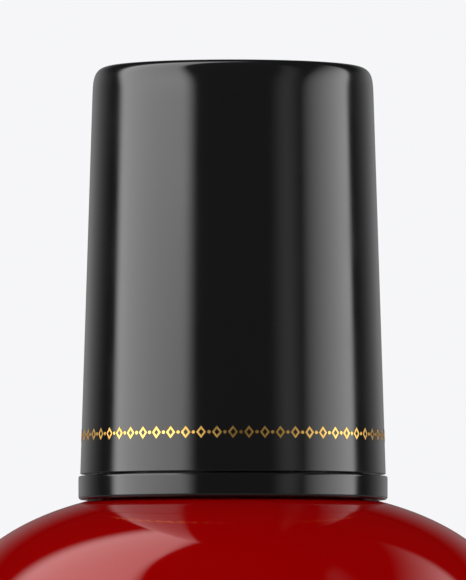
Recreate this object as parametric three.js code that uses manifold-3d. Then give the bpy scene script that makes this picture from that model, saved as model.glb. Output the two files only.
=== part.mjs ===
// Nail polish bottle: a round glass bottle with a screw cap that carries the brush.
// Millimetres, +Z up. The origin is the centre of the standing face, and every height is
// measured from the surface that the bottle stands on.

import * as THREE from 'three';
import { mergeVertices } from 'three/addons/utils/BufferGeometryUtils.js';
import Module from 'manifold-3d';

const wasm = await Module();
wasm.setup();

// ---------------------------------------------------------------- driving dimensions

const ROUND_STEPS = 40; // facets round the large pieces
const FINE_STEPS = 20; // facets round the brush

// Glass body, outside. The outline is a superellipse above the equator and another below it.
const BODY_RADIUS = 19.5;
const EQUATOR = 20.6; // height of the widest place
const SHOULDER_RISE = 12.38; // height of the whole dome above the equator
const SHOULDER_POWER = 2.4; // 2 would be an ellipse
const HEEL_DROP = 21.6; // a little more than EQUATOR, so the base plane cuts a flat face
const HEEL_POWER = 4;
const RECESS_RADIUS = 8.6; // push-up under the base
const RECESS_DEPTH = 0.9;

// Glass body, inside
const WALL = 3.2; // at the equator
const CAVITY_RISE = 9.3;
const CAVITY_DROP = 15;
const FLOOR = 6.4; // height of the channel that the mixing balls roll in
const FLOOR_CENTRE = 7.6; // height of the raised middle of the floor
const CHANNEL_INNER = 5.6;

// Threaded neck, one solid with the glass
const NECK_RADIUS = 6.5;
const NECK_BASE_RADIUS = 7.3; // where the shoulder turns up into the neck
const BORE_RADIUS = 4.2;
const LIP = 46.1;
const LIP_ROUND = 0.4;

// Screw thread, right-handed, single start
const PITCH = 2.117; // 12 turns to the inch
const NECK_THREAD_CREST = 7.25;
const NECK_THREAD_START = 40.6;
const NECK_THREAD_TURNS = 1.6;
const CAP_THREAD_CREST = 6.75;
const CAP_THREAD_FIRST_TURN = 0.15; // turns after the neck thread's own start
const CAP_THREAD_TURNS = 1.1;
const THREAD_ROOT_WIDTH = 1.4;
const THREAD_CREST_WIDTH = 0.5;
const THREAD_BURIED = 0.2; // how deep the rib's root sits in its wall
const THREAD_RUN_OUT = 0.12; // share of a rib's length over which each end fades

// Decorative base ring
const RING_RADIUS = 10;
const RING_BOTTOM = 32.1;
const RING_TOP = 33.64;
const RING_LIP_INNER = 9.5;
const RING_BORE = 8.3;
const RING_GROOVE = 8.8;
const RING_FOOT_ROUND = 0.25;
const RING_TOP_ROUND = 0.2;

// Overcap
const CAP_FOOT = 33.76;
const CAP_TOP = 60.2;
const CAP_FOOT_RADIUS = 9.88;
const CAP_TAPER = Math.tan(THREE.MathUtils.degToRad(1.81)); // radius lost for each mm of height
const CAP_EDGE_ROUND = 1.2;
const CAP_FOOT_BEVEL = 0.05;
const CAP_MOUTH = 8.8;
const CAP_SEAT = 49.0; // ledge that stops the inner cap
const CAP_SEAT_RADIUS = 8.6;
const CAP_HOLLOW_RADIUS = 7.9; // above the ledge
const CAP_CEILING = 58.7;

// Inner cap
const INNER_FOOT = 32.8;
const INNER_RADIUS = 8.15;
const INNER_BEAD_RADIUS = 8.65; // snaps into the ring's groove
const INNER_BORE = 7.4;
const INNER_TOP = 48.8;
const INNER_PLATE = 47.35; // underside of the top plate
const STEM_HOLE = 2.15;

// Interlocking ribs between the inner cap and the overcap
const RIB_COUNT = 12;
const RIB_WIDTH = 1.7;
const INNER_RIB_CREST = 8.4;
const OVERCAP_RIB_CREST = 8.28;

// Sealing liner
const LINER_BOTTOM = 46.25;
const LINER_TOP = 47.1;
const LINER_RADIUS = 6.2;
const LINER_HOLE = 2.95;

// Brush
const HEAD_TOP = 50.3;
const HEAD_RADIUS = 3.9;
const SHANK_RADIUS = 1.95; // in the inner cap's hole
const SNAP_BEAD_RADIUS = 2.5;
const ROD_RADIUS = 1.65;
const COLLAR_RADIUS = 3.3; // keeps the liner on the stem
const COLLAR_TOP = 43.0;
const STEM_END = 19.6;
const SOCKET_RADIUS = 1.25;
const SOCKET_TOP = 22.9;
const TUFT_TIP = 8;
const TUFT_RADIUS = 1.8;
const TUFT_ROOT_RADIUS = 1.05;
const TUFT_ROOT = 21.9;

// Polish
const FILL_LEVEL = 26; // 15 ml
const FILL_GAP = 0.2; // to the glass
const FILL_BORE = 2.9; // room for the brush
const BALL_CHANNEL_TOP = 10.7;
const BALL_CHANNEL = [5.4, 10.6]; // inner and outer radius left free for the mixing balls

// Mixing balls
const BALL_RADIUS = 2;
const BALL_ORBIT = 8;
const BALL_LIFT = 0.05; // clearance over the floor

// Base label
const LABEL_RADIUS = 8;
const LABEL_BOTTOM = 0.7;
const LABEL_TOP = 0.85;

// ---------------------------------------------------------------- materials

const standard = (color, roughness, metalness = 0) =>
  new THREE.MeshStandardMaterial({ color, roughness, metalness });

const materials = {
  bottle: () => standard(0x7d0206, 0.08),
  polish: () => standard(0x8a0409, 0.2),
  overcap: () => standard(0x0a0a0b, 0.08),
  baseRing: () => standard(0x0b0b0c, 0.1),
  innerCap: () => standard(0x141414, 0.45),
  liner: () => standard(0xe8e6df, 0.6),
  stem: () => standard(0x101010, 0.35),
  bristles: () => standard(0x1b1512, 0.55),
  steel: () => standard(0xc4c6c8, 0.2, 1),
  label: () => standard(0xf2f0ea, 0.7),
};

// ---------------------------------------------------------------- helpers

// Turns a closed outline of [radius, height] points about the Z axis.
function revolve(outline, steps = ROUND_STEPS) {
  const points = outline.map(([r, z]) => new THREE.Vector2(r, z));
  if (outline[0][0] > 0) points.push(points[0].clone());
  const geometry = new THREE.LatheGeometry(points, steps);
  geometry.rotateX(Math.PI / 2);
  return geometry;
}

// Points of a circular arc in the radius-height plane. Angles are in degrees from +radius.
function arc(centreRadius, centreHeight, radius, from, to, steps) {
  return Array.from({ length: steps + 1 }, (_, i) => {
    const a = THREE.MathUtils.degToRad(from + ((to - from) * i) / steps);
    return [centreRadius + radius * Math.cos(a), centreHeight + radius * Math.sin(a)];
  });
}

// Points of a superellipse from its equator to the place where its radius is endRadius.
// A negative rise runs downwards.
function superellipse(radius, rise, power, endRadius, steps) {
  const end = Math.acos((endRadius / radius) ** (power / 2));
  return Array.from({ length: steps + 1 }, (_, i) => {
    const t = (end * i) / steps;
    const r = radius * Math.cos(t) ** (2 / power);
    return [r, EQUATOR + rise * Math.sin(t) ** (2 / power)];
  });
}

// Radius of a superellipse at a height above or below the equator.
function superellipseRadius(radius, rise, power, height) {
  return radius * (1 - (Math.abs(height - EQUATOR) / Math.abs(rise)) ** power) ** (1 / power);
}

// A screw thread: a bar bent into a helix, with a tapering section and faded ends.
function helicalRib({ root, crest, start, turns, phase }) {
  const bar = new THREE.BoxGeometry(1, 1, 1, Math.round(turns * ROUND_STEPS), 1, 1);
  const place = bar.getAttribute('position');
  for (let i = 0; i < place.count; i++) {
    const along = place.getX(i) + 0.5;
    const outward = place.getY(i) + 0.5;
    const side = place.getZ(i);
    const fade = Math.min(1, Math.min(along, 1 - along) / THREAD_RUN_OUT);
    const reach = THREE.MathUtils.lerp(0.35, 1, fade) * outward;
    const width = THREE.MathUtils.lerp(THREAD_ROOT_WIDTH, THREAD_CREST_WIDTH, outward);
    const radius = THREE.MathUtils.lerp(root, crest, reach);
    const turn = phase + along * turns;
    const angle = 2 * Math.PI * turn;
    const height = start + PITCH * turn + side * width * THREE.MathUtils.lerp(0.5, 1, fade);
    place.setXYZ(i, radius * Math.cos(angle), radius * Math.sin(angle), height);
  }
  return bar;
}

// A bar that runs up a wall, between two radii and two heights.
function uprightRib(innerRadius, outerRadius, bottom, top, angle) {
  const bar = new THREE.BoxGeometry(outerRadius - innerRadius, RIB_WIDTH, top - bottom);
  bar.translate((innerRadius + outerRadius) / 2, 0, (bottom + top) / 2);
  bar.rotateZ(angle);
  return bar;
}

function ringOfRibs(innerRadius, outerRadius, bottom, top, halfStepOn) {
  const step = (2 * Math.PI) / RIB_COUNT;
  return Array.from({ length: RIB_COUNT }, (_, i) =>
    uprightRib(innerRadius, outerRadius, bottom, top, step * (i + halfStepOn / 2))
  );
}

function toSolid(geometry) {
  const bare = geometry.clone();
  bare.deleteAttribute('normal');
  bare.deleteAttribute('uv');
  const merged = mergeVertices(bare, 1e-4);
  const vertProperties = new Float32Array(merged.getAttribute('position').array);
  const corners = merged.getIndex().array;
  const triVerts = [];
  for (let i = 0; i < corners.length; i += 3) {
    const [a, b, c] = [corners[i], corners[i + 1], corners[i + 2]];
    if (a !== b && b !== c && c !== a) triVerts.push(a, b, c);
  }
  const mesh = new wasm.Mesh({ numProp: 3, vertProperties, triVerts: new Uint32Array(triVerts) });
  const solid = new wasm.Manifold(mesh);
  if (solid.volume() > 0) return solid;
  for (let i = 0; i < triVerts.length; i += 3) {
    [triVerts[i], triVerts[i + 1]] = [triVerts[i + 1], triVerts[i]];
  }
  return new wasm.Manifold(
    new wasm.Mesh({ numProp: 3, vertProperties, triVerts: new Uint32Array(triVerts) })
  );
}

function toGeometry(solid) {
  const mesh = solid.getMesh();
  const geometry = new THREE.BufferGeometry();
  geometry.setAttribute('position', new THREE.BufferAttribute(mesh.vertProperties, 3));
  geometry.setIndex(new THREE.BufferAttribute(mesh.triVerts, 1));
  geometry.computeVertexNormals();
  return geometry;
}

// One solid made of a first geometry and the others joined to it.
function joined(first, others) {
  return toGeometry(others.reduce((sum, g) => sum.add(toSolid(g)), toSolid(first)));
}

function named(name, geometry, material) {
  const mesh = new THREE.Mesh(geometry, material);
  mesh.name = name;
  return mesh;
}

// ---------------------------------------------------------------- bottle

function bottle() {
  const heel = superellipse(
    BODY_RADIUS, -HEEL_DROP, HEEL_POWER,
    superellipseRadius(BODY_RADIUS, HEEL_DROP, HEEL_POWER, 0), 7
  );
  const shoulder = superellipse(
    BODY_RADIUS, SHOULDER_RISE, SHOULDER_POWER, NECK_BASE_RADIUS, 9
  );
  const cavityRadius = BODY_RADIUS - WALL;
  const cavityTop = superellipse(
    cavityRadius, CAVITY_RISE, SHOULDER_POWER, BORE_RADIUS + 1.2, 6
  );
  const cavityFoot = superellipse(
    cavityRadius, -CAVITY_DROP, HEEL_POWER,
    superellipseRadius(cavityRadius, CAVITY_DROP, HEEL_POWER, FLOOR), 6
  );
  const cavityMouth = EQUATOR + CAVITY_RISE;
  const glass = revolve([
    [0, RECESS_DEPTH],
    [RECESS_RADIUS, RECESS_DEPTH],
    [RECESS_RADIUS + 0.7, 0],
    ...heel.reverse(),
    ...shoulder.slice(1),
    [NECK_RADIUS + 0.2, 32.65],
    [NECK_RADIUS, 33.0],
    ...arc(NECK_RADIUS - LIP_ROUND, LIP - LIP_ROUND, LIP_ROUND, 0, 90, 2),
    ...arc(BORE_RADIUS + LIP_ROUND, LIP - LIP_ROUND, LIP_ROUND, 90, 180, 2),
    [BORE_RADIUS, cavityMouth + 0.6],
    [BORE_RADIUS + 0.35, cavityMouth + 0.05],
    ...cavityTop.reverse(),
    ...cavityFoot.slice(1),
    [CHANNEL_INNER, FLOOR],
    [CHANNEL_INNER - 2.2, FLOOR_CENTRE],
    [0, FLOOR_CENTRE],
  ]);
  const thread = helicalRib({
    root: NECK_RADIUS - THREAD_BURIED,
    crest: NECK_THREAD_CREST,
    start: NECK_THREAD_START,
    turns: NECK_THREAD_TURNS,
    phase: 0,
  });
  return named('bottle', joined(glass, [thread]), materials.bottle());
}

function polish() {
  const radius = BODY_RADIUS - WALL - FILL_GAP;
  const drop = CAVITY_DROP - FILL_GAP;
  const rise = CAVITY_RISE - FILL_GAP;
  const foot = FLOOR + 3 * FILL_GAP;
  const levelRadius = superellipseRadius(radius, rise, SHOULDER_POWER, FILL_LEVEL);
  const lower = superellipse(
    radius, -drop, HEEL_POWER, superellipseRadius(radius, drop, HEEL_POWER, foot), 5
  );
  const upper = superellipse(radius, rise, SHOULDER_POWER, levelRadius, 3);
  const [channelInner, channelOuter] = BALL_CHANNEL;
  const geometry = revolve([
    [FILL_BORE, FLOOR_CENTRE + FILL_GAP],
    [CHANNEL_INNER - 2, FLOOR_CENTRE + FILL_GAP],
    [channelInner, FLOOR + 2 * FILL_GAP],
    [channelInner, BALL_CHANNEL_TOP],
    [channelOuter, BALL_CHANNEL_TOP],
    [channelOuter, foot],
    ...lower.reverse(),
    ...upper.slice(1),
    [FILL_BORE, FILL_LEVEL],
  ]);
  return named('polish', geometry, materials.polish());
}

function mixingBall(number, angle) {
  const geometry = new THREE.SphereGeometry(BALL_RADIUS, 16, 10);
  const ball = named(`mixing_ball_${number}`, geometry, materials.steel());
  ball.position.set(
    BALL_ORBIT * Math.cos(angle), BALL_ORBIT * Math.sin(angle), FLOOR + BALL_RADIUS + BALL_LIFT
  );
  return ball;
}

function baseLabel() {
  const geometry = revolve([
    [0, LABEL_BOTTOM],
    [LABEL_RADIUS, LABEL_BOTTOM],
    [LABEL_RADIUS, LABEL_TOP],
    [0, LABEL_TOP],
  ]);
  return named('base_label', geometry, materials.label());
}

// ---------------------------------------------------------------- cap

function baseRing() {
  const r = RING_RADIUS;
  const beadMiddle = INNER_FOOT + 0.3;
  const geometry = revolve([
    [RING_LIP_INNER, RING_BOTTOM],
    ...arc(r - RING_FOOT_ROUND, RING_BOTTOM + RING_FOOT_ROUND, RING_FOOT_ROUND, -90, 0, 3),
    ...arc(r - RING_TOP_ROUND, RING_TOP - RING_TOP_ROUND, RING_TOP_ROUND, 0, 90, 2),
    [RING_BORE, RING_TOP],
    [RING_BORE, beadMiddle + 0.4],
    [RING_GROOVE, beadMiddle + 0.25],
    [RING_GROOVE, beadMiddle - 0.25],
    [RING_BORE + 0.2, beadMiddle - 0.4],
  ]);
  return named('base_ring', geometry, materials.baseRing());
}

function overcap() {
  const radiusAt = (height) => CAP_FOOT_RADIUS - (height - CAP_FOOT) * CAP_TAPER;
  const edgeHeight = CAP_TOP - CAP_EDGE_ROUND;
  const shell = revolve([
    [CAP_MOUTH, CAP_FOOT],
    [CAP_FOOT_RADIUS - CAP_FOOT_BEVEL, CAP_FOOT],
    [radiusAt(CAP_FOOT + CAP_FOOT_BEVEL), CAP_FOOT + CAP_FOOT_BEVEL],
    ...arc(radiusAt(edgeHeight) - CAP_EDGE_ROUND, edgeHeight, CAP_EDGE_ROUND, 0, 90, 5),
    [0, CAP_TOP],
    [0, CAP_CEILING],
    ...arc(CAP_HOLLOW_RADIUS - 0.8, CAP_CEILING - 0.6, 0.6, 90, 0, 2),
    [CAP_HOLLOW_RADIUS, CAP_SEAT],
    [CAP_SEAT_RADIUS, CAP_SEAT],
  ]);
  const ribs = ringOfRibs(OVERCAP_RIB_CREST, CAP_MOUTH + 0.25, 36, CAP_SEAT + 0.3, 1);
  return named('overcap', joined(shell, ribs), materials.overcap());
}

function innerCap() {
  const shell = revolve([
    [INNER_BORE, INNER_FOOT],
    [INNER_RADIUS + 0.2, INNER_FOOT],
    [INNER_BEAD_RADIUS, INNER_FOOT + 0.2],
    [INNER_BEAD_RADIUS, INNER_FOOT + 0.4],
    [INNER_RADIUS, INNER_FOOT + 0.7],
    [INNER_RADIUS, INNER_TOP - 0.3],
    [INNER_RADIUS - 0.3, INNER_TOP],
    [STEM_HOLE, INNER_TOP],
    [STEM_HOLE, INNER_PLATE],
    [INNER_BORE, INNER_PLATE],
  ]);
  const ribs = ringOfRibs(INNER_RADIUS - 0.25, INNER_RIB_CREST, 35.5, INNER_TOP - 0.5, 0);
  const thread = helicalRib({
    root: INNER_BORE + THREAD_BURIED,
    crest: CAP_THREAD_CREST,
    start: NECK_THREAD_START - PITCH / 2,
    turns: CAP_THREAD_TURNS,
    phase: CAP_THREAD_FIRST_TURN,
  });
  return named('inner_cap', joined(shell, [...ribs, thread]), materials.innerCap());
}

function sealingLiner() {
  const geometry = revolve([
    [LINER_HOLE, LINER_BOTTOM],
    [LINER_RADIUS, LINER_BOTTOM],
    [LINER_RADIUS, LINER_TOP],
    [LINER_HOLE, LINER_TOP],
  ]);
  return named('sealing_liner', geometry, materials.liner());
}

// ---------------------------------------------------------------- brush

function brushStem() {
  const headFoot = INNER_TOP + 0.3;
  const beadTop = INNER_PLATE - 0.2;
  const geometry = revolve([
    [0, SOCKET_TOP],
    [SOCKET_RADIUS, SOCKET_TOP],
    [SOCKET_RADIUS, STEM_END],
    [ROD_RADIUS - 0.15, STEM_END],
    [ROD_RADIUS, STEM_END + 0.4],
    [ROD_RADIUS, COLLAR_TOP - 1.2],
    [COLLAR_RADIUS, COLLAR_TOP - 0.8],
    [COLLAR_RADIUS, COLLAR_TOP],
    [ROD_RADIUS, COLLAR_TOP + 0.3],
    [ROD_RADIUS, beadTop - 0.8],
    [SNAP_BEAD_RADIUS, beadTop - 0.25],
    [SNAP_BEAD_RADIUS, beadTop],
    [SHANK_RADIUS, beadTop],
    [SHANK_RADIUS, headFoot],
    [HEAD_RADIUS, headFoot],
    [HEAD_RADIUS, HEAD_TOP - 0.3],
    [HEAD_RADIUS - 0.3, HEAD_TOP],
    [0, HEAD_TOP],
  ], FINE_STEPS);
  return named('brush_stem', geometry, materials.stem());
}

function bristleTuft() {
  const geometry = revolve([
    [0, TUFT_TIP],
    [TUFT_RADIUS * 0.5, TUFT_TIP + 0.15],
    [TUFT_RADIUS * 0.85, TUFT_TIP + 1],
    [TUFT_RADIUS, TUFT_TIP + 3],
    [TUFT_RADIUS, TUFT_TIP + 6],
    [TUFT_ROOT_RADIUS + 0.3, STEM_END - 1],
    [TUFT_ROOT_RADIUS, STEM_END],
    [TUFT_ROOT_RADIUS, TUFT_ROOT],
    [0, TUFT_ROOT],
  ], FINE_STEPS);
  return named('bristle_tuft', geometry, materials.bristles());
}

function brushStaple() {
  const staple = named('brush_staple', new THREE.BoxGeometry(2.1, 0.5, 0.7), materials.steel());
  staple.position.z = (TUFT_ROOT + SOCKET_TOP) / 2;
  return staple;
}

// ---------------------------------------------------------------- assembly

const glassware = new THREE.Group();
glassware.add(bottle(), polish(), baseLabel(), mixingBall(1, 0), mixingBall(2, Math.PI));

const brush = new THREE.Group();
brush.add(brushStem(), brushStaple(), bristleTuft());

const cap = new THREE.Group();
cap.add(overcap(), innerCap(), baseRing(), sealingLiner(), brush);

const nailPolishBottle = new THREE.Group();
nailPolishBottle.add(glassware, cap);

export default nailPolishBottle;
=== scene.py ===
import math
import random

import bpy
from mathutils import Matrix, Vector


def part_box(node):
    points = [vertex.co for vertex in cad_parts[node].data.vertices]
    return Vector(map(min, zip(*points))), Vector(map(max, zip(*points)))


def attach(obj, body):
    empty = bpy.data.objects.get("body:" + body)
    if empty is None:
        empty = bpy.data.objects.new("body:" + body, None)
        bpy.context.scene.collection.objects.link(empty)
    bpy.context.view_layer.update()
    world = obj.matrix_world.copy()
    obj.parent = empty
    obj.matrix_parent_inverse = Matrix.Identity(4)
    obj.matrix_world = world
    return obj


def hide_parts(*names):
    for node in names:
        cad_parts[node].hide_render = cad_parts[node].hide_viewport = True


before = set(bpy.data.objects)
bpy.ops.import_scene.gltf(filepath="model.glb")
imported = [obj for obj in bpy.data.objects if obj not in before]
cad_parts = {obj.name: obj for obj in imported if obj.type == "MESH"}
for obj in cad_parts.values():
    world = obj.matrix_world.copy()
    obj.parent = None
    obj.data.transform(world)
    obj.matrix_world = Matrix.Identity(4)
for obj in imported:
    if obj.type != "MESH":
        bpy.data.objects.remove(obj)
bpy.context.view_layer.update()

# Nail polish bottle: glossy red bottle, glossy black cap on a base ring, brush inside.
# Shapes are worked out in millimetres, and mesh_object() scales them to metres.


MM = 0.001


def node_box(node):
    """Lowest and highest corner of a CAD node, in millimetres."""
    low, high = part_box(node)
    return low / MM, high / MM


# ---------------------------------------------------------------- driving dimensions, mm

ROUND_STEPS = 192  # facets round the large pieces
FINE_STEPS = 96  # facets round the brush stem and the balls

# Glass body: a superellipse above the equator and another below it
BODY_RADIUS = node_box("bottle")[1].x
EQUATOR = 20.6
SHOULDER_RISE = 12.38
SHOULDER_POWER = 2.4
HEEL_DROP = 21.6
HEEL_POWER = 4.0
HEEL_ROUND = 2.2
RECESS_RADIUS = 8.6
RECESS_DEPTH = 0.9

WALL = 3.2
CAVITY_RISE = 9.3
CAVITY_DROP = 15.0
FLOOR = 6.4
FLOOR_CENTRE = 7.6
CHANNEL_INNER = 5.6
CHANNEL_OUTER = 10.6

NECK_ROOT_RADIUS = 8.2
NECK_RADIUS = 6.5
BORE_RADIUS = 4.2
LIP = node_box("bottle")[1].z

PITCH = 2.117
NECK_THREAD_CREST = 7.25
NECK_THREAD_START = 40.6
NECK_THREAD_TURNS = 1.6
CAP_THREAD_CREST = 6.75
CAP_THREAD_FIRST_TURN = 0.15
CAP_THREAD_TURNS = 1.1
THREAD_ROOT_WIDTH = 1.2
THREAD_CREST_WIDTH = 0.5
THREAD_RUN_OUT = 0.12

RING_BOTTOM = node_box("base_ring")[0].z
RING_TOP = node_box("base_ring")[1].z
RING_RADIUS = node_box("base_ring")[1].x
RING_LIP_INNER = 9.5
RING_BORE = 8.3
RING_GROOVE = 8.8

CAP_FOOT = node_box("overcap")[0].z
CAP_TOP = node_box("overcap")[1].z
CAP_FOOT_RADIUS = 9.88
CAP_TAPER = math.tan(math.radians(1.81))
CAP_EDGE_LENGTH = 2.5  # of the soft curve between the wall and the top
CAP_EDGE_POWER = 5  # 2 would be a circular arc
CAP_MOUTH = 8.8
CAP_SEAT = 49.0
CAP_SEAT_RADIUS = 8.6
CAP_HOLLOW_RADIUS = 7.9
CAP_CEILING = 58.7

INNER_FOOT = node_box("inner_cap")[0].z
INNER_TOP = node_box("inner_cap")[1].z
INNER_RADIUS = 8.15
INNER_BEAD_RADIUS = 8.65
INNER_BORE = 7.4
INNER_PLATE = 47.35
STEM_HOLE = 2.15
RIB_COUNT = 12
RIB_WIDTH = 1.7
RIB_FOOT = 35.5
INNER_RIB_CREST = 8.4
OVERCAP_RIB_CREST = 8.28

LINER_BOTTOM = node_box("sealing_liner")[0].z
LINER_TOP = node_box("sealing_liner")[1].z
LINER_RADIUS = node_box("sealing_liner")[1].x
LINER_HOLE = 2.95

HEAD_TOP = node_box("brush_stem")[1].z
HEAD_RADIUS = 3.9
SHANK_RADIUS = 1.95
SNAP_BEAD_RADIUS = 2.5
ROD_RADIUS = 1.65
COLLAR_RADIUS = 3.3
COLLAR_TOP = 43.0
STEM_END = node_box("brush_stem")[0].z
SOCKET_RADIUS = 1.25
SOCKET_TOP = 22.9

TUFT_TIP = node_box("bristle_tuft")[0].z
TUFT_ROOT = node_box("bristle_tuft")[1].z
TUFT_RADIUS = 1.7
TUFT_ROOT_RADIUS = 1.05
BRISTLE_COUNT = 260
BRISTLE_RADIUS = 0.05

FILL_LEVEL = node_box("polish")[1].z
FILL_GAP = 0.2
FILL_BORE = 2.9
BALL_CHANNEL_TOP = 10.7

LABEL_RADIUS = node_box("base_label")[1].x

BAND_HEIGHT = 36.25  # middle of the gold band on the overcap
BAND_UNITS = 60
LOZENGE_HALF_WIDTH = 0.32
LOZENGE_HALF_HEIGHT = 0.4
FOIL_STROKE = 0.12
DOT_RADIUS = 0.11
FOIL_LIFT = 0.012

# ---------------------------------------------------------------- studio dimensions

PANEL_STEPS = 60
FLOOR_HALF = 8000

# ---------------------------------------------------------------- camera

# The camera stands a little above the table and looks slightly up at the cap, far off with a
# long lens. The picture is taken to be 466 x 580.
CAMERA_DISTANCE = 760.0
CAMERA_HEIGHT = 16.1
AIM_HEIGHT = 45.69
PIXELS_PER_MM = 15.45
PICTURE_HEIGHT = 580
SENSOR = 36.0


def make_camera():
    data = bpy.data.cameras.new("camera")
    data.sensor_width = SENSOR
    reach = math.hypot(CAMERA_DISTANCE, AIM_HEIGHT - CAMERA_HEIGHT)
    data.lens = PIXELS_PER_MM * reach / PICTURE_HEIGHT * SENSOR
    data.clip_start = 0.05
    data.clip_end = 50
    camera = bpy.data.objects.new("camera", data)
    bpy.context.scene.collection.objects.link(camera)
    camera.location = Vector((0, -CAMERA_DISTANCE, CAMERA_HEIGHT)) * MM
    look = Vector((0, CAMERA_DISTANCE, AIM_HEIGHT - CAMERA_HEIGHT))
    camera.rotation_euler = look.to_track_quat("-Z", "Y").to_euler()
    bpy.context.scene.camera = camera


# ---------------------------------------------------------------- material helpers


class Nodes:
    """A material's node tree round one Principled shader."""

    def __init__(self, name, **values):
        self.material = bpy.data.materials.new(name)
        self.material.use_nodes = True
        self.tree = self.material.node_tree
        self.shader = self.tree.nodes["Principled BSDF"]
        self.place = self.tree.nodes.new("ShaderNodeTexCoord").outputs["Object"]
        for socket, value in values.items():
            self.shader.inputs[socket.replace("_", " ")].default_value = value

    def add(self, kind, **settings):
        node = self.tree.nodes.new(kind)
        for key, value in settings.items():
            setattr(node, key, value)
        return node

    def link(self, output, socket):
        self.tree.links.new(output, socket)

    def noise(self, scale, detail=3.0, roughness=0.5):
        """Noise with about scale lumps to the metre."""
        node = self.add("ShaderNodeTexNoise")
        node.inputs["Scale"].default_value = scale
        node.inputs["Detail"].default_value = detail
        node.inputs["Roughness"].default_value = roughness
        self.link(self.place, node.inputs["Vector"])
        return node.outputs["Fac"]

    def between(self, source, low, high, start=0.3, end=0.7):
        """source from start to end becomes low to high."""
        node = self.add("ShaderNodeMapRange")
        self.link(source, node.inputs["Value"])
        node.inputs["From Min"].default_value = start
        node.inputs["From Max"].default_value = end
        node.inputs["To Min"].default_value = low
        node.inputs["To Max"].default_value = high
        return node.outputs["Result"]

    def mix(self, factor, first, second):
        """A colour from first to second by factor."""
        node = self.add("ShaderNodeMix", data_type="RGBA")
        self.link(factor, node.inputs["Factor"])
        for socket, value in ((node.inputs[6], first), (node.inputs[7], second)):
            if isinstance(value, tuple):
                socket.default_value = (*value, 1.0)
            else:
                self.link(value, socket)
        return node.outputs[2]

    def bump(self, height, depth, strength=1.0):
        """depth is in millimetres."""
        node = self.add("ShaderNodeBump")
        node.inputs["Strength"].default_value = strength
        node.inputs["Distance"].default_value = depth * MM
        self.link(height, node.inputs["Height"])
        self.link(node.outputs["Normal"], self.shader.inputs["Normal"])

    def height_above(self, level, soft):
        """0 below level and 1 above it, in millimetres, fading over soft."""
        split = self.add("ShaderNodeSeparateXYZ")
        self.link(self.place, split.inputs["Vector"])
        return self.between(
            split.outputs["Z"], 0.0, 1.0, (level - soft / 2) * MM, (level + soft / 2) * MM
        )


# ---------------------------------------------------------------- materials


def black_gloss():
    m = Nodes("black_gloss", Base_Color=(0.0078, 0.0078, 0.0082, 1), IOR=1.5)
    m.link(m.between(m.noise(240), 0.10, 0.15), m.shader.inputs["Roughness"])
    m.bump(m.noise(700, 2.0), 0.0006)
    return m.material


def red_lacquer():
    """Clear coat over a deep red, whose own shine is red."""
    m = Nodes(
        "red_lacquer", Metallic=0.12, Specular_IOR_Level=0.0, Specular_Tint=(1, 0.05, 0.05, 1),
        Coat_Weight=0.7, Coat_IOR=1.5, Coat_Roughness=0.05,
    )
    deep = (0.275, 0.0, 0.0001)
    light = (0.295, 0.0, 0.0002)
    m.link(m.mix(m.between(m.noise(60), 0.0, 1.0), deep, light), m.shader.inputs["Base Color"])
    m.link(m.between(m.noise(200), 0.09, 0.13), m.shader.inputs["Roughness"])
    m.bump(m.noise(120, 2.0), 0.004)
    return m.material


def wet_polish():
    m = Nodes("wet_polish", IOR=1.48)
    m.link(
        m.mix(m.between(m.noise(300), 0.0, 1.0), (0.17, 0.0004, 0.001), (0.21, 0.001, 0.002)),
        m.shader.inputs["Base Color"],
    )
    m.link(m.between(m.noise(500), 0.05, 0.12), m.shader.inputs["Roughness"])
    return m.material


def gold_foil():
    m = Nodes("gold_foil", Metallic=1.0)
    m.link(
        m.mix(m.between(m.noise(900), 0.0, 1.0), (0.80, 0.46, 0.10), (0.98, 0.62, 0.18)),
        m.shader.inputs["Base Color"],
    )
    m.link(m.between(m.noise(2500), 0.32, 0.48), m.shader.inputs["Roughness"])
    m.bump(m.noise(6000, 2.0), 0.002)
    return m.material


def satin_black():
    m = Nodes("satin_black", Base_Color=(0.011, 0.011, 0.012, 1))
    m.link(m.between(m.noise(600), 0.34, 0.48), m.shader.inputs["Roughness"])
    m.bump(m.noise(4000, 4.0), 0.004)
    return m.material


def stem_plastic():
    """Black rod, with a film of wet polish up to where it was dipped."""
    m = Nodes("stem_plastic", IOR=1.5)
    edge = m.add("ShaderNodeMath", operation="ADD")
    m.link(m.height_above(FILL_LEVEL - 1.5, 1.2), edge.inputs[0])
    m.link(m.between(m.noise(500), -0.4, 0.4), edge.inputs[1])
    dry = m.between(edge.outputs[0], 0.0, 1.0, 0.35, 0.65)
    m.link(m.mix(dry, (0.19, 0.0005, 0.001), (0.014, 0.014, 0.015)), m.shader.inputs["Base Color"])
    m.link(m.between(dry, 0.06, 0.3, 0.0, 1.0), m.shader.inputs["Roughness"])
    m.bump(m.noise(900, 3.0), 0.006)
    return m.material


def bristle_nylon():
    """Dark nylon, wet with polish away from the socket."""
    m = Nodes("bristle_nylon", IOR=1.5)
    dry = m.height_above(STEM_END - 1.4, 1.6)
    m.link(m.mix(dry, (0.2, 0.0006, 0.0012), (0.02, 0.013, 0.01)), m.shader.inputs["Base Color"])
    m.link(m.between(m.noise(1500), 0.12, 0.3), m.shader.inputs["Roughness"])
    return m.material


def ball_steel():
    m = Nodes("ball_steel", Metallic=1.0)
    film = m.between(m.noise(900), 0.0, 1.0, 0.45, 0.6)
    m.link(m.mix(film, (0.62, 0.62, 0.64), (0.3, 0.01, 0.012)), m.shader.inputs["Base Color"])
    m.link(m.between(m.noise(1800), 0.1, 0.2), m.shader.inputs["Roughness"])
    return m.material


def staple_wire():
    m = Nodes("staple_wire", Metallic=1.0, Base_Color=(0.6, 0.6, 0.62, 1))
    m.link(m.between(m.noise(3000), 0.2, 0.35), m.shader.inputs["Roughness"])
    return m.material


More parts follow.
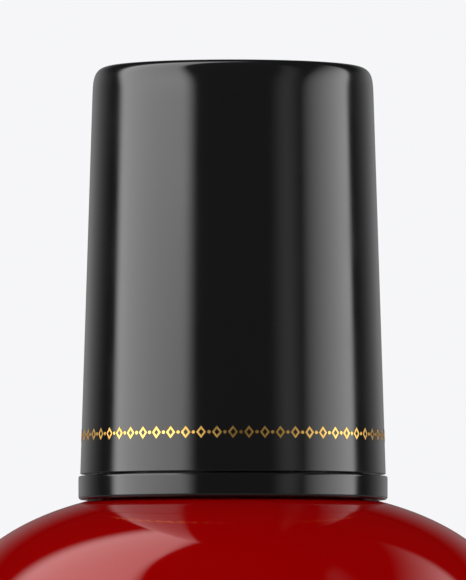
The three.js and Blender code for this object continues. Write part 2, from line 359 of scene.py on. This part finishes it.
def liner_foam():
    m = Nodes("liner_foam")
    cells = m.add("ShaderNodeTexVoronoi")
    cells.inputs["Scale"].default_value = 5000
    m.link(m.place, cells.inputs["Vector"])
    m.link(
        m.mix(m.between(m.noise(800), 0.0, 1.0), (0.74, 0.73, 0.69), (0.82, 0.81, 0.77)),
        m.shader.inputs["Base Color"],
    )
    m.link(m.between(m.noise(1200), 0.5, 0.7), m.shader.inputs["Roughness"])
    m.bump(cells.outputs["Distance"], 0.03)
    return m.material


def label_paper():
    """A blank white sticker with a dot of the polish's colour inside a thin black ring."""
    m = Nodes("label_paper")
    flat = m.add("ShaderNodeVectorMath", operation="MULTIPLY")
    flat.inputs[1].default_value = (1, 1, 0)
    m.link(m.place, flat.inputs[0])
    length = m.add("ShaderNodeVectorMath", operation="LENGTH")
    m.link(flat.outputs["Vector"], length.inputs[0])
    radius = length.outputs["Value"]
    dot = m.between(radius, 1.0, 0.0, 2.95 * MM, 3.05 * MM)
    outer = m.between(radius, 1.0, 0.0, 6.78 * MM, 6.82 * MM)
    inner = m.between(radius, 0.0, 1.0, 6.48 * MM, 6.52 * MM)
    ring = m.add("ShaderNodeMath", operation="MULTIPLY")
    m.link(outer, ring.inputs[0])
    m.link(inner, ring.inputs[1])
    paper = m.mix(m.between(m.noise(3000, 5.0), 0.0, 1.0), (0.80, 0.79, 0.75), (0.86, 0.85, 0.81))
    inked = m.mix(ring.outputs[0], paper, (0.012, 0.012, 0.012))
    m.link(m.mix(dot, inked, (0.2, 0.001, 0.003)), m.shader.inputs["Base Color"])
    m.link(m.between(m.noise(900), 0.38, 0.5), m.shader.inputs["Roughness"])
    m.bump(m.noise(9000, 4.0), 0.004)
    return m.material


def floor_paint():
    """Pale and matt. Glossy rays see a painted reflection instead, which is dimmer and fades darker
    away from the bottle.
    """
    m = Nodes("floor_paint", Specular_IOR_Level=0.0, Roughness=0.9)
    pale = m.mix(m.between(m.noise(8), 0.0, 1.0), (0.80, 0.80, 0.815), (0.82, 0.82, 0.835))
    in_shine = m.add("ShaderNodeLightPath").outputs["Is Glossy Ray"]
    away = m.add("ShaderNodeVectorMath", operation="LENGTH")
    m.link(m.place, away.inputs[0])
    far = m.between(away.outputs["Value"], 0.0, 1.0, start=60 * MM, end=650 * MM)
    # Painted reflection: the floor's colour for glossy rays only, grey near the bottle and nearly
    # black far from it.
    painted_reflection = m.mix(far, (0.42, 0.42, 0.42), (0.02, 0.02, 0.02))
    m.link(m.mix(in_shine, pale, painted_reflection), m.shader.inputs["Base Color"])
    return m.material


# ---------------------------------------------------------------- outline helpers


def superellipse(radius, rise, power, end_radius, steps):
    """Outline points from the equator to the place where the radius is end_radius."""
    end = math.acos((end_radius / radius) ** (power / 2))
    points = []
    for i in range(steps + 1):
        t = end * i / steps
        r = radius * math.cos(t) ** (2 / power)
        points.append((r, EQUATOR + rise * math.sin(t) ** (2 / power)))
    return points


def superellipse_radius(radius, rise, power, height):
    share = abs(height - EQUATOR) / abs(rise)
    return radius * (1 - share**power) ** (1 / power)


def superellipse_height(radius, rise, power, at_radius):
    return EQUATOR + rise * (1 - (at_radius / radius) ** power) ** (1 / power)


def bend(start, corner, end, steps=8):
    """Points of a quadratic curve from start to end that rounds off corner."""
    points = []
    for i in range(steps + 1):
        t = i / steps
        points.append(tuple(
            (1 - t) ** 2 * a + 2 * t * (1 - t) * b + t * t * c
            for a, b, c in zip(start, corner, end)
        ))
    return points


def rounded(path, closed=True):
    """Points of a polygon of (radius, height, rounding) corners. Each straight stretch gets a
    support point beside each of its round corners, so that smooth shading keeps it straight."""
    points = []
    count = len(path)
    for i, (r, z, *rounding) in enumerate(path):
        size = rounding[0] if rounding else 0
        here = Vector((r, z))
        if not size or (not closed and i in (0, count - 1)):
            points.append((r, z))
            continue
        before = Vector(path[i - 1][:2]) - here
        after = Vector(path[(i + 1) % count][:2]) - here
        half = before.angle(after) / 2
        reach = size / math.tan(half)
        first = here + before.normalized() * reach
        last = here + after.normalized() * reach
        middle = (before.normalized() + after.normalized()).normalized()
        centre = here + middle * (size / math.sin(half))
        support = min(0.35 * size, 0.1 * min(before.length, after.length))
        points.append(tuple(first + before.normalized() * support))
        arm = first - centre
        sweep = arm.angle_signed(last - centre)
        steps = max(3, round(abs(math.degrees(sweep)) / 7.5))
        for k in range(steps + 1):
            angle = -sweep * k / steps
            turned = Vector((
                arm.x * math.cos(angle) - arm.y * math.sin(angle),
                arm.x * math.sin(angle) + arm.y * math.cos(angle),
            ))
            points.append(tuple(centre + turned))
        points.append(tuple(last + after.normalized() * support))
    return points


def soft_corner(before, corner, after, length, power, steps=24):
    """Points of a quarter of a superellipse that rounds off corner over length on both sides."""
    here = Vector(corner)
    back = (Vector(before) - here).normalized() * length
    on = (Vector(after) - here).normalized() * length
    points = []
    for i in range(steps + 1):
        t = math.pi / 2 * i / steps
        falling = 1 - math.sin(t) ** (2 / power)
        rising = 1 - max(0.0, math.cos(t)) ** (2 / power)
        points.append(tuple(here + back * falling + on * rising))
    return points


def upright(radius, bottom, top, step):
    """Points up a straight wall, close enough together to carry a thread or a rib's end."""
    count = max(1, round(abs(top - bottom) / step))
    return [(radius, bottom + (top - bottom) * i / count) for i in range(count + 1)]


# ---------------------------------------------------------------- mesh helpers


def mesh_object(name, vertices, faces, material, smooth_angle=35):
    mesh = bpy.data.meshes.new(name)
    mesh.from_pydata([tuple(c * MM for c in v) for v in vertices], [], faces)
    mesh.validate()
    mesh.shade_smooth()
    mesh.set_sharp_from_angle(angle=math.radians(smooth_angle))
    mesh.materials.append(material)
    piece = bpy.data.objects.new(name, mesh)
    bpy.context.scene.collection.objects.link(piece)
    return piece


def lathe(name, outline, material, steps=ROUND_STEPS, reshape=None):
    """Turns an outline of (radius, height) points about Z. An outline that starts or ends on
    the axis gets a pole there, and any other closes on itself. reshape(turn, r, z) gives the
    radius at a part of a turn from 0 to 1."""
    vertices = []
    rows = []
    for r, z in outline:
        if r < 1e-6:
            rows.append([len(vertices)] * steps)
            vertices.append((0, 0, z))
            continue
        rows.append(list(range(len(vertices), len(vertices) + steps)))
        for k in range(steps):
            turn = k / steps
            radius = reshape(turn, r, z) if reshape else r
            angle = 2 * math.pi * turn
            vertices.append((radius * math.cos(angle), radius * math.sin(angle), z))
    closed = outline[0][0] > 1e-6
    pairs = list(zip(rows, rows[1:] + rows[:1] if closed else rows[1:]))
    faces = []
    for lower, upper in pairs:
        for k in range(steps):
            n = (k + 1) % steps
            face = []
            for index in (lower[k], lower[n], upper[n], upper[k]):
                if index not in face:
                    face.append(index)
            if len(face) > 2:
                faces.append(face)
    return mesh_object(name, vertices, outward(vertices, faces), material)


def outward(vertices, faces):
    """The faces, all turned over if they enclose a negative volume."""
    volume = 0.0
    for face in faces:
        a = Vector(vertices[face[0]])
        for i in range(1, len(face) - 1):
            volume += a.dot(Vector(vertices[face[i]]).cross(Vector(vertices[face[i + 1]])))
    return faces if volume > 0 else [face[::-1] for face in faces]


def finish_piece(piece, body, slot, *nodes):
    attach(piece, body)
    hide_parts(*nodes)


def smooth_step(x):
    x = min(1.0, max(0.0, x))
    return x * x * (3 - 2 * x)


def thread_height(turn, z, start, first_turn, turns):
    """How far the thread stands out at a place on the wall, from 0 to 1."""
    best = 0.0
    for whole in range(-1, 4):
        along = turn + whole
        share = (along - first_turn) / turns
        if not 0 < share < 1:
            continue
        fade = smooth_step(min(share, 1 - share) / THREAD_RUN_OUT)
        off_centre = abs(z - start - PITCH * along)
        rise = (THREAD_ROOT_WIDTH / 2 - off_centre) / ((THREAD_ROOT_WIDTH - THREAD_CREST_WIDTH) / 2)
        best = max(best, fade * smooth_step(rise))
    return best


def rib_height(turn, radius, offset):
    """How far the ribs round a wall stand out at a part of a turn, from 0 to 1."""
    step = 1 / RIB_COUNT
    nearest = abs((turn - offset * step + step / 2) % step - step / 2)
    edge = 0.12
    return smooth_step((RIB_WIDTH / 2 + edge - nearest * 2 * math.pi * radius) / edge)


# ---------------------------------------------------------------- bottle


def body_outline():
    """Outside of the glass, from the recess under the base up to the neck's root."""
    heel_foot = superellipse_radius(BODY_RADIUS, HEEL_DROP, HEEL_POWER, 0)
    heel = superellipse(BODY_RADIUS, -HEEL_DROP, HEEL_POWER, heel_foot, 90)[::-1]
    heel = [p for p in heel if math.dist(p, (heel_foot, 0)) > HEEL_ROUND]
    shoulder = superellipse(BODY_RADIUS, SHOULDER_RISE, SHOULDER_POWER, NECK_ROOT_RADIUS, 90)
    root = superellipse_height(BODY_RADIUS, SHOULDER_RISE, SHOULDER_POWER, NECK_RADIUS)
    standing = rounded([
        (0, RECESS_DEPTH),
        (RECESS_RADIUS, RECESS_DEPTH, 0.3),
        (RECESS_RADIUS + 0.7, 0, 0.3),
        (heel_foot - HEEL_ROUND, 0),
    ], closed=False)
    return (
        standing[:-1]
        + bend((heel_foot - HEEL_ROUND, 0), (heel_foot, 0), heel[0], 10)
        + heel[1:]
        + shoulder[1:-1]
        + bend(shoulder[-1], (NECK_RADIUS, root), (NECK_RADIUS, root + 1.2))
    )


def cavity_outline():
    """Inside of the glass, from the foot of the bore down to the middle of the floor."""
    radius = BODY_RADIUS - WALL
    top = superellipse(radius, CAVITY_RISE, SHOULDER_POWER, 6.0, 40)[::-1]
    ceiling = superellipse_height(radius, CAVITY_RISE, SHOULDER_POWER, BORE_RADIUS)
    foot = superellipse_radius(radius, CAVITY_DROP, HEEL_POWER, FLOOR)
    lower = superellipse(radius, -CAVITY_DROP, HEEL_POWER, foot, 40)
    floor = rounded([
        (foot - 0.1, FLOOR),
        (CHANNEL_INNER, FLOOR, 1.2),
        (CHANNEL_INNER - 2.2, FLOOR_CENTRE, 1.2),
        (0, FLOOR_CENTRE),
    ], closed=False)
    bore_foot = bend((BORE_RADIUS, ceiling + 1.6), (BORE_RADIUS, ceiling), top[0])
    return bore_foot + top[1:] + lower[1:] + floor


def make_bottle():
    lip = rounded([
        (NECK_RADIUS, LIP - 1.0),
        (NECK_RADIUS, LIP, 0.4),
        (BORE_RADIUS, LIP, 0.4),
        (BORE_RADIUS, LIP - 1.0),
    ], closed=False)
    body = body_outline()
    neck = upright(NECK_RADIUS, body[-1][1], LIP - 1.0, 0.09)

    def reshape(turn, r, z):
        if abs(r - NECK_RADIUS) > 1e-6:
            return r
        out = thread_height(turn, z, NECK_THREAD_START, 0.0, NECK_THREAD_TURNS)
        return r + out * (NECK_THREAD_CREST - NECK_RADIUS)

    outline = body + neck[1:-1] + lip + cavity_outline()
    glass = lathe("bottle_glass", outline, red_lacquer(), reshape=reshape)
    finish_piece(glass, "bottle", "red_glass", "bottle")


def make_polish():
    radius = BODY_RADIUS - WALL - FILL_GAP
    drop = CAVITY_DROP - FILL_GAP
    rise = CAVITY_RISE - FILL_GAP
    foot = FLOOR + 3 * FILL_GAP
    foot_radius = superellipse_radius(radius, drop, HEEL_POWER, foot)
    level_radius = superellipse_radius(radius, rise, SHOULDER_POWER, FILL_LEVEL)
    lower = superellipse(radius, -drop, HEEL_POWER, foot_radius, 30)[::-1]
    upper = superellipse(radius, rise, SHOULDER_POWER, level_radius, 20)
    climb = 0.6  # how far the surface climbs the glass
    surface = bend(
        (level_radius, FILL_LEVEL), (level_radius - 1.2, FILL_LEVEL - climb),
        (level_radius - 3.2, FILL_LEVEL - climb),
    )
    inside = rounded([
        (FILL_BORE, FILL_LEVEL - climb, 0.3),
        (FILL_BORE, FLOOR_CENTRE + FILL_GAP, 0.1),
        (CHANNEL_INNER - 2, FLOOR_CENTRE + FILL_GAP, 0.1),
        (CHANNEL_INNER - 0.2, FLOOR + 2 * FILL_GAP, 0.1),
        (CHANNEL_INNER - 0.2, BALL_CHANNEL_TOP, 0.3),
        (CHANNEL_OUTER, BALL_CHANNEL_TOP, 0.3),
        (CHANNEL_OUTER, foot, 0.1),
        (foot_radius, foot),
    ], closed=False)
    outline = surface[1:] + inside[:-1] + lower + upper[1:]
    finish_piece(lathe("polish_fill", outline, wet_polish()), "bottle", "red_polish", "polish")


def make_balls():
    steel = ball_steel()
    for number in (1, 2):
        node = f"mixing_ball_{number}"
        low, high = node_box(node)
        centre = (low + high) / 2
        radius = (high.z - low.z) / 2
        steps = 32
        outline = [
            (radius * math.cos(a), radius * math.sin(a))
            for a in (math.pi * (i / steps - 0.5) for i in range(1, steps))
        ]
        ball = lathe(f"ball_{number}", [(0, -radius), *outline, (0, radius)], steel, 64)
        ball.data.transform(Matrix.Translation(centre * MM))
        finish_piece(ball, f"ball_{number}", "ball_steel", node)


def make_label():
    low, high = node_box("base_label")
    outline = rounded([
        (0, low.z), (LABEL_RADIUS, low.z, 0.05), (LABEL_RADIUS, high.z, 0.05), (0, high.z),
    ], closed=False)
    finish_piece(lathe("sticker", outline, label_paper()), "bottle", "label_paper", "base_label")


# ---------------------------------------------------------------- cap


def make_ring(gloss):
    bead = INNER_FOOT + 0.3
    outline = rounded([
        (RING_LIP_INNER, RING_BOTTOM, 0.05),
        (RING_RADIUS, RING_BOTTOM, 0.2),
        (RING_RADIUS, RING_TOP, 0.12),
        (RING_BORE, RING_TOP, 0.1),
        (RING_BORE, bead + 0.4, 0.05),
        (RING_GROOVE, bead + 0.25, 0.05),
        (RING_GROOVE, bead - 0.25, 0.05),
        (RING_BORE + 0.2, bead - 0.4, 0.05),
    ])
    finish_piece(lathe("ring_band", outline, gloss), "ring", "black_gloss", "base_ring")


def cap_radius(height):
    return CAP_FOOT_RADIUS - (height - CAP_FOOT) * CAP_TAPER


def make_overcap(gloss):
    foot = rounded([
        (CAP_MOUTH, CAP_FOOT + 1.0),
        (CAP_MOUTH, CAP_FOOT, 0.1),
        (cap_radius(CAP_FOOT), CAP_FOOT, 0.05),
        (cap_radius(CAP_FOOT + 1), CAP_FOOT + 1),
    ], closed=False)
    edge = soft_corner(
        (cap_radius(CAP_FOOT), CAP_FOOT), (cap_radius(CAP_TOP), CAP_TOP), (0, CAP_TOP),
        CAP_EDGE_LENGTH, CAP_EDGE_POWER,
    )
    inside = rounded([
        (0, CAP_CEILING),
        (CAP_HOLLOW_RADIUS, CAP_CEILING, 0.7),
        (CAP_HOLLOW_RADIUS, CAP_SEAT, 0.1),
        (CAP_SEAT_RADIUS, CAP_SEAT, 0.1),
        (CAP_SEAT_RADIUS, CAP_SEAT - 0.6),
    ], closed=False)
    wall = [
        (CAP_SEAT_RADIUS + (CAP_MOUTH - CAP_SEAT_RADIUS) * i / 40, CAP_SEAT - 0.8 - 14 * i / 40)
        for i in range(41)
    ]
    shell = foot + edge + [(0, CAP_TOP)] + inside + wall

    def reshape(turn, r, z):
        if not (CAP_SEAT_RADIUS < r < CAP_MOUTH and z < CAP_SEAT - 0.7):
            return r
        fade = smooth_step((z - RIB_FOOT - 0.5) / 0.5)
        return r - fade * rib_height(turn, OVERCAP_RIB_CREST, 0.5) * (r - OVERCAP_RIB_CREST)

    piece = lathe("overcap_shell", shell, gloss, reshape=reshape)
    finish_piece(piece, "cap", "black_gloss", "overcap")


def make_inner_cap():
    outside = rounded([
        (INNER_BORE, INNER_FOOT, 0.1),
        (INNER_RADIUS + 0.2, INNER_FOOT, 0.1),
        (INNER_BEAD_RADIUS, INNER_FOOT + 0.2, 0.06),
        (INNER_BEAD_RADIUS, INNER_FOOT + 0.4, 0.06),
        (INNER_RADIUS, INNER_FOOT + 0.7, 0.1),
        (INNER_RADIUS, INNER_FOOT + 1.2),
    ], closed=False)
    skirt = upright(INNER_RADIUS, INNER_FOOT + 1.3, INNER_TOP - 0.7, 0.3)
    top = rounded([
        (INNER_RADIUS, INNER_TOP - 0.6),
        (INNER_RADIUS, INNER_TOP, 0.3),
        (STEM_HOLE, INNER_TOP, 0.1),
        (STEM_HOLE, INNER_PLATE, 0.1),
        (INNER_BORE, INNER_PLATE, 0.4),
        (INNER_BORE, INNER_PLATE - 1.0),
    ], closed=False)
    bore = upright(INNER_BORE, INNER_PLATE - 1.1, INNER_FOOT + 0.5, 0.09)

    def reshape(turn, r, z):
        if abs(r - INNER_BORE) < 1e-6 and INNER_FOOT + 0.4 < z < INNER_PLATE - 1:
            out = thread_height(
                turn, z, NECK_THREAD_START - PITCH / 2, CAP_THREAD_FIRST_TURN, CAP_THREAD_TURNS
            )
            return r - out * (INNER_BORE - CAP_THREAD_CREST)
        if abs(r - INNER_RADIUS) < 1e-6 and z < INNER_TOP - 0.5:
            fade = smooth_step((z - RIB_FOOT) / 0.4) * smooth_step((INNER_TOP - 0.6 - z) / 0.3)
            return r + fade * rib_height(turn, r, 0) * (INNER_RIB_CREST - INNER_RADIUS)
        return r

    outline = outside + skirt + top + bore
    piece = lathe("screw_insert", outline, satin_black(), reshape=reshape)
    finish_piece(piece, "cap", "black_satin", "inner_cap")


def make_liner():
    outline = rounded([
        (LINER_HOLE, LINER_BOTTOM, 0.12),
        (LINER_RADIUS, LINER_BOTTOM, 0.12),
        (LINER_RADIUS, LINER_TOP, 0.12),
        (LINER_HOLE, LINER_TOP, 0.12),
    ])
    piece = lathe("liner_disc", outline, liner_foam())
    finish_piece(piece, "liner", "white_liner", "sealing_liner")


# ---------------------------------------------------------------- gold band


def foil_patch(outline, hole=None):
    """Vertices and faces of a flat motif, given round its own middle as (along, up) points. A
    hole is an outline with as many points, and leaves a frame."""
    count = len(outline)
    if not hole:
        return list(outline), [list(range(count))]
    faces = [[i, (i + 1) % count, count + (i + 1) % count, count + i] for i in range(count)]
    return list(outline) + list(hole), faces


def lozenge(half_width, half_height, steps=6):
    """A lozenge's outline with its sides divided, so that it can follow the cap's curve."""
    tips = [(half_width, 0), (0, half_height), (-half_width, 0), (0, -half_height)]
    points = []
    for (a, b), (c, d) in zip(tips, tips[1:] + tips[:1]):
        points += [(a + (c - a) * i / steps, b + (d - b) * i / steps) for i in range(steps)]
    return points


def disc(radius, steps=20):
    turns = [2 * math.pi * i / steps for i in range(steps)]
    return [(radius * math.cos(a), radius * math.sin(a)) for a in turns]


def make_band():
    """A ring of small gold lozenges and dots stamped round the overcap."""
    vertices = []
    faces = []
    inner_lozenge = lozenge(
        LOZENGE_HALF_WIDTH - FOIL_STROKE * 1.3, LOZENGE_HALF_HEIGHT - FOIL_STROKE * 1.6
    )
    frame_patch = foil_patch(lozenge(LOZENGE_HALF_WIDTH, LOZENGE_HALF_HEIGHT), inner_lozenge)
    dot_patch = foil_patch(disc(DOT_RADIUS))
    for unit in range(BAND_UNITS * 2):
        points, patch_faces = frame_patch if unit % 2 == 0 else dot_patch
        middle = 2 * math.pi * (unit / 2) / BAND_UNITS
        first = len(vertices)
        for layer in (FOIL_LIFT, -FOIL_LIFT):
            for along, up in points:
                height = BAND_HEIGHT + up
                radius = cap_radius(height) + layer
                angle = middle + along / cap_radius(BAND_HEIGHT)
                vertices.append((radius * math.cos(angle), radius * math.sin(angle), height))
        count = len(points)
        for face in patch_faces:
            faces.append([first + i for i in face])
            faces.append([first + count + i for i in reversed(face)])
        loops = [range(count)] if unit % 2 else [range(count // 2), range(count // 2, count)]
        for side, loop in enumerate(loops):
            ring = list(loop) if side == 0 else list(loop)[::-1]
            for a, b in zip(ring, ring[1:] + ring[:1]):
                faces.append([first + b, first + a, first + count + a, first + count + b])
    band = mesh_object("gold_band", vertices, faces, gold_foil())
    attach(band, "cap")


# ---------------------------------------------------------------- brush


def make_stem():
    head_foot = INNER_TOP + 0.3
    bead_top = INNER_PLATE - 0.2
    outline = rounded([
        (0, SOCKET_TOP),
        (SOCKET_RADIUS, SOCKET_TOP, 0.1),
        (SOCKET_RADIUS, STEM_END, 0.06),
        (ROD_RADIUS, STEM_END, 0.3),
        (ROD_RADIUS, COLLAR_TOP - 1.2, 0.3),
        (COLLAR_RADIUS, COLLAR_TOP - 0.8, 0.15),
        (COLLAR_RADIUS, COLLAR_TOP, 0.15),
        (ROD_RADIUS, COLLAR_TOP + 0.3, 0.3),
        (ROD_RADIUS, bead_top - 0.8, 0.2),
        (SNAP_BEAD_RADIUS, bead_top - 0.25, 0.08),
        (SNAP_BEAD_RADIUS, bead_top, 0.05),
        (SHANK_RADIUS, bead_top, 0.05),
        (SHANK_RADIUS, head_foot, 0.1),
        (HEAD_RADIUS, head_foot, 0.1),
        (HEAD_RADIUS, HEAD_TOP, 0.3),
        (0, HEAD_TOP),
    ], closed=False)
    piece = lathe("brush_rod", outline, stem_plastic(), FINE_STEPS)
    finish_piece(piece, "cap", "stem_plastic", "brush_stem")


def make_tuft():
    """Separate filaments that leave the socket as a bundle, swell and come to a rounded end."""
    vertices = []
    faces = []
    sides = 5
    steps = 10
    draw = random.Random(7)
    for i in range(BRISTLE_COUNT):
        share = math.sqrt((i + 0.5) / BRISTLE_COUNT)
        angle = i * math.pi * (3 - math.sqrt(5))
        tip = TUFT_TIP + 1.5 * share**2.5 + draw.uniform(0, 0.25)
        sway = draw.uniform(-0.06, 0.06)
        first = len(vertices)
        for k in range(steps + 1):
            t = k / steps
            z = TUFT_ROOT + (tip - TUFT_ROOT) * t
            below = max(0.0, (STEM_END - z) / (STEM_END - TUFT_TIP))
            spread = TUFT_ROOT_RADIUS + (TUFT_RADIUS - TUFT_ROOT_RADIUS) * smooth_step(below * 1.8)
            spread -= 0.35 * smooth_step((below - 0.6) / 0.4)
            radius = (spread - BRISTLE_RADIUS) * share
            turn = angle + sway * below
            thick = BRISTLE_RADIUS * (1 - 0.65 * smooth_step((t - 0.8) / 0.2))
            for s in range(sides):
                a = 2 * math.pi * s / sides
                vertices.append((
                    radius * math.cos(turn) + thick * math.cos(a),
                    radius * math.sin(turn) + thick * math.sin(a),
                    z,
                ))
        for k in range(steps):
            for s in range(sides):
                a = first + k * sides + s
                b = first + k * sides + (s + 1) % sides
                faces.append([b, a, a + sides, b + sides])
        faces.append([first + s for s in range(sides)])
        faces.append([first + steps * sides + s for s in reversed(range(sides))])
    piece = mesh_object("bristles", vertices, faces, bristle_nylon(), 60)
    finish_piece(piece, "cap", "nylon_bristle", "bristle_tuft")


def make_staple():
    """A short length of wire bent into a flat U over the fold of the bristles."""
    low, high = node_box("brush_staple")
    wire = 0.16
    half = high.x - wire
    top = high.z - wire
    foot = low.z + wire
    route = [(-half, foot)]
    route += [(-half + 0.25 - 0.25 * math.cos(a), top - 0.25 + 0.25 * math.sin(a))
              for a in (math.pi / 2 * i / 6 for i in range(7))]
    route += [(-x, z) for x, z in reversed(route)]
    vertices = []
    faces = []
    sides = 12
    for i, (x, z) in enumerate(route):
        before = route[max(0, i - 1)]
        after = route[min(len(route) - 1, i + 1)]
        along = Vector((after[0] - before[0], 0, after[1] - before[1])).normalized()
        across = along.cross(Vector((0, 1, 0)))
        for s in range(sides):
            a = 2 * math.pi * s / sides
            vertices.append(tuple(
                Vector((x, 0, z)) + wire * (math.cos(a) * across + math.sin(a) * Vector((0, 1, 0)))
            ))
    for i in range(len(route) - 1):
        for s in range(sides):
            a = i * sides + s
            b = i * sides + (s + 1) % sides
            faces.append([a, b, b + sides, a + sides])
    faces.append([s for s in reversed(range(sides))])
    faces.append([(len(route) - 1) * sides + s for s in range(sides)])
    piece = mesh_object("wire_staple", vertices, outward(vertices, faces), staple_wire())
    finish_piece(piece, "cap", "staple_steel", "brush_staple")


# ---------------------------------------------------------------- studio


def direction(azimuth, elevation):
    """Unit vector. Azimuth 0 points to the camera and 90 to the right."""
    a = math.radians(azimuth)
    e = math.radians(elevation)
    return Vector((math.sin(a) * math.cos(e), -math.cos(a) * math.cos(e), math.sin(e)))


def soft_panel(name, panel_corners, glow):
    """A glowing sheet between four corners, given as (azimuth, elevation, distance in mm) from
    the cap. glow(u, v) is its brightness from the first corner along u to the second and along
    v to the fourth, apart from a soft foot. It shows in shiny surfaces only."""
    middle = Vector((0, 0, (RING_TOP + CAP_TOP) / 2))
    a, b, c, d = [middle + direction(az, el) * away for az, el, away in panel_corners]
    vertices = []
    glows = []
    for j in range(PANEL_STEPS + 1):
        for i in range(PANEL_STEPS + 1):
            u = i / PANEL_STEPS
            v = j / PANEL_STEPS
            point = (a * (1 - u) + b * u) * (1 - v) + (d * (1 - u) + c * u) * v
            vertices.append(tuple(point))
            glows.append(glow(u, v) * smooth_step(v / 0.05))
    row = PANEL_STEPS + 1
    faces = [
        [j * row + i, j * row + i + 1, (j + 1) * row + i + 1, (j + 1) * row + i]
        for j in range(PANEL_STEPS) for i in range(PANEL_STEPS)
    ]
    material = bpy.data.materials.new(name)
    material.use_nodes = True
    tree = material.node_tree
    tree.nodes.clear()
    output = tree.nodes.new("ShaderNodeOutputMaterial")
    light = tree.nodes.new("ShaderNodeEmission")
    shade = tree.nodes.new("ShaderNodeAttribute")
    shade.attribute_name = "glow"
    tree.links.new(shade.outputs["Fac"], light.inputs["Strength"])
    tree.links.new(light.outputs["Emission"], output.inputs["Surface"])
    panel = mesh_object(name, vertices, faces, material)
    values = panel.data.attributes.new("glow", "FLOAT", "POINT")
    for i, value in enumerate(glows):
        values.data[i].value = value
    panel.visible_camera = False
    panel.visible_diffuse = False
    panel.visible_shadow = False


def edge_fade(x, soft_start, soft_end):
    return smooth_step(x / soft_start) * smooth_step((1 - x) / soft_end)


def make_studio():
    def left_glow(u, v):
        low = 2.2 + 2.9 * u
        high = 5.1 - (2.2 + 1.2 * u) * v
        shade = low + (high - low) * smooth_step((v - 0.115) / 0.07)
        front = smooth_step((u - 0.22 * v**3) / (0.21 + 0.1 * v))
        return shade * front * smooth_step((1 - u) / 0.15) * smooth_step((1 - v) / 0.165)

    def right_glow(u, v):
        ramp = max(0.0, (u - 0.24) / 0.76)
        across = smooth_step(u / 0.13) * (1 - ramp) * (1 + 0.35 * ramp)
        return 3.95 * across * smooth_step((1 - v) / 0.8)

    def dim_glow(u, v):
        return 0.57 * edge_fade(u, 0.5, 0.5) * (1 - 0.6 * v) * smooth_step((1 - v) / 0.15)

    def rear_glow(u, v):
        return 0.47 * edge_fade(u, 0.5, 0.5) * smooth_step((1 - v) / 0.65)

    soft_panel(
        "left_softbox",
        [(-24, -4, 600), (-102, -4, 590), (-200, 58, 620), (-80, 69, 620)],
        left_glow,
    )
    soft_panel(
        "right_softbox",
        [(105, -4, 500), (50, -4, 600), (97, 50, 640), (150, 50, 600)],
        right_glow,
    )
    soft_panel(
        "dim_strip",
        [(25, -4, 700), (56, -4, 700), (105, 68, 700), (60, 62, 700)],
        dim_glow,
    )
    for side in (-1, 1):
        near = side * 112
        far = side * 190
        soft_panel(
            f"rear_glow_{side}",
            [(near, -4, 900), (far, -4, 900), (far, 24, 900), (near, 24, 900)],
            rear_glow,
        )
    sun = bpy.data.lights.new("overhead_fill", "SUN")
    sun.energy = 0.75
    sun.angle = math.radians(120)
    fill = bpy.data.objects.new("overhead_fill", sun)
    fill.rotation_euler = direction(-60, 72).to_track_quat("Z", "Y").to_euler()
    fill.visible_glossy = False
    bpy.context.scene.collection.objects.link(fill)

    half = FLOOR_HALF
    floor = mesh_object(
        "floor",
        [(-half, -half, 0), (half, -half, 0), (half, half, 0), (-half, half, 0)],
        [[0, 1, 2, 3]],
        floor_paint(),
    )
    make_world()


def make_world():
    """Pale all round, and nearly black in reflections."""
    world = bpy.data.worlds.new("studio")
    bpy.context.scene.world = world
    world.use_nodes = True
    tree = world.node_tree
    tree.nodes.clear()
    output = tree.nodes.new("ShaderNodeOutputWorld")
    shown = tree.nodes.new("ShaderNodeBackground")
    shown.inputs["Color"].default_value = (0.922, 0.922, 0.939, 1)
    reflected = tree.nodes.new("ShaderNodeBackground")
    reflected.inputs["Strength"].default_value = 0.01
    mix = tree.nodes.new("ShaderNodeMixShader")
    path = tree.nodes.new("ShaderNodeLightPath")
    tree.links.new(path.outputs["Is Glossy Ray"], mix.inputs["Fac"])
    tree.links.new(shown.outputs["Background"], mix.inputs[1])
    tree.links.new(reflected.outputs["Background"], mix.inputs[2])
    tree.links.new(mix.outputs["Shader"], output.inputs["Surface"])
    bpy.context.scene.view_settings.view_transform = "Standard"


# ---------------------------------------------------------------- assembly

make_camera()
make_studio()
make_bottle()
make_polish()
make_balls()
make_label()
gloss = black_gloss()
make_ring(gloss)
make_overcap(gloss)
make_inner_cap()
make_liner()
make_band()
make_stem()
make_tuft()
make_staple()
